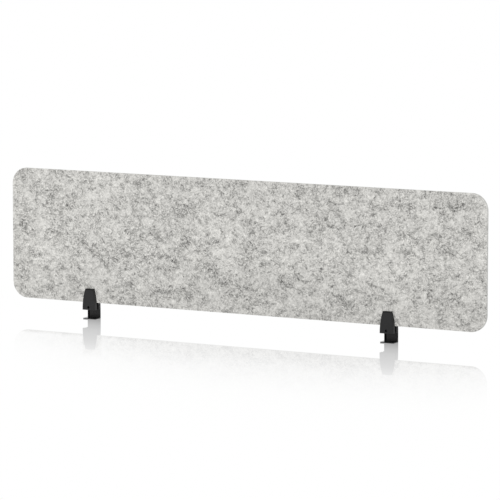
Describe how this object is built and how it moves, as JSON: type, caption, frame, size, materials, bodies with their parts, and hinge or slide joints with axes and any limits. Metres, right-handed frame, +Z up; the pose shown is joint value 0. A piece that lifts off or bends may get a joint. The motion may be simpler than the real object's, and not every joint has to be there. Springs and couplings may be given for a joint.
{
  "type": "desk privacy panel",
  "caption": "Felt privacy panel for the rear edge of a desk, held upright by slotted edge clamps with adjustable lower jaws.",
  "frame": {"origin": "centre of the bounding box at its lowest face, midway along the panel, level with the underside of the lower jaws", "axes": "+X along the panel to the right as the person at the desk sees it, -Y towards that person, +Z up"},
  "size_m": [1.6, 0.039, 0.4495],
  "materials": {
    "felt": "needled felt, light grey marl",
    "black_coat": "satin black powder coat",
    "black_sheet": "satin black powder coat on sheet steel",
    "black_nylon": "moulded black nylon",
    "black_rubber": "matte black rubber",
    "black_steel": "black oxide",
    "bright_steel": "zinc plated"
  },
  "bodies": {
    "panel": {"panel": "felt"},
    "left_clamp": {"left_clamp_body": "black_coat", "left_panel_rest": "black_nylon", "left_guide_dowels": "bright_steel", "left_pinch_nut": "bright_steel", "left_rear_grip_pad": "black_rubber"},
    "left_arm": {"left_front_arm": "black_coat", "left_front_grip_pad": "black_rubber", "left_desk_pad": "black_rubber"},
    "left_bolt": {"left_pinch_bolt": "black_steel"},
    "left_jaw": {"left_lower_jaw": "black_sheet", "left_lock_nut": "bright_steel", "left_lock_washer": "bright_steel"},
    "left_screw": {"left_lock_screw": "black_steel"},
    "right_clamp": {"right_clamp_body": "black_coat", "right_panel_rest": "black_nylon", "right_guide_dowels": "bright_steel", "right_pinch_nut": "bright_steel", "right_rear_grip_pad": "black_rubber"},
    "right_arm": {"right_front_arm": "black_coat", "right_front_grip_pad": "black_rubber", "right_desk_pad": "black_rubber"},
    "right_bolt": {"right_pinch_bolt": "black_steel"},
    "right_jaw": {"right_lower_jaw": "black_sheet", "right_lock_nut": "bright_steel", "right_lock_washer": "bright_steel"},
    "right_screw": {"right_lock_screw": "black_steel"}
  },
  "joints": [
    {"name": "left_clamp_slide", "type": "slide", "parent": "panel", "child": "left_clamp", "axis": [1, 0, 0], "range_m": [-0.2, 0.4]},
    {"name": "left_arm_open", "type": "slide", "parent": "left_clamp", "child": "left_arm", "axis": [0, -1, 0], "range_m": [0, 0.0021]},
    {"name": "left_bolt_turn", "type": "hinge", "parent": "left_arm", "child": "left_bolt", "pos_m": [-0.5213, -0.00524, 0.0362], "axis": [0, -1, 0], "range_deg": [0, 1080]},
    {"name": "left_jaw_slide", "type": "slide", "parent": "left_clamp", "child": "left_jaw", "axis": [0, 0, 1], "range_m": [0, 0.012]},
    {"name": "left_screw_turn", "type": "hinge", "parent": "left_jaw", "child": "left_screw", "pos_m": [-0.5213, 0.01577, 0.0452], "axis": [0, 1, 0], "range_deg": [0, 540]},
    {"name": "right_clamp_slide", "type": "slide", "parent": "panel", "child": "right_clamp", "axis": [1, 0, 0], "range_m": [-0.4, 0.2]},
    {"name": "right_arm_open", "type": "slide", "parent": "right_clamp", "child": "right_arm", "axis": [0, -1, 0], "range_m": [0, 0.0021]},
    {"name": "right_bolt_turn", "type": "hinge", "parent": "right_arm", "child": "right_bolt", "pos_m": [0.4876, -0.00524, 0.0362], "axis": [0, -1, 0], "range_deg": [0, 1080]},
    {"name": "right_jaw_slide", "type": "slide", "parent": "right_clamp", "child": "right_jaw", "axis": [0, 0, 1], "range_m": [0, 0.012]},
    {"name": "right_screw_turn", "type": "hinge", "parent": "right_jaw", "child": "right_screw", "pos_m": [0.4876, 0.01577, 0.0452], "axis": [0, 1, 0], "range_deg": [0, 540]}
  ],
  "couplings": [
    {"joint": "left_bolt_turn", "follows": "left_arm_open", "rad_per_m": 8975.9},
    {"joint": "right_bolt_turn", "follows": "right_arm_open", "rad_per_m": 8975.9}
  ]
}
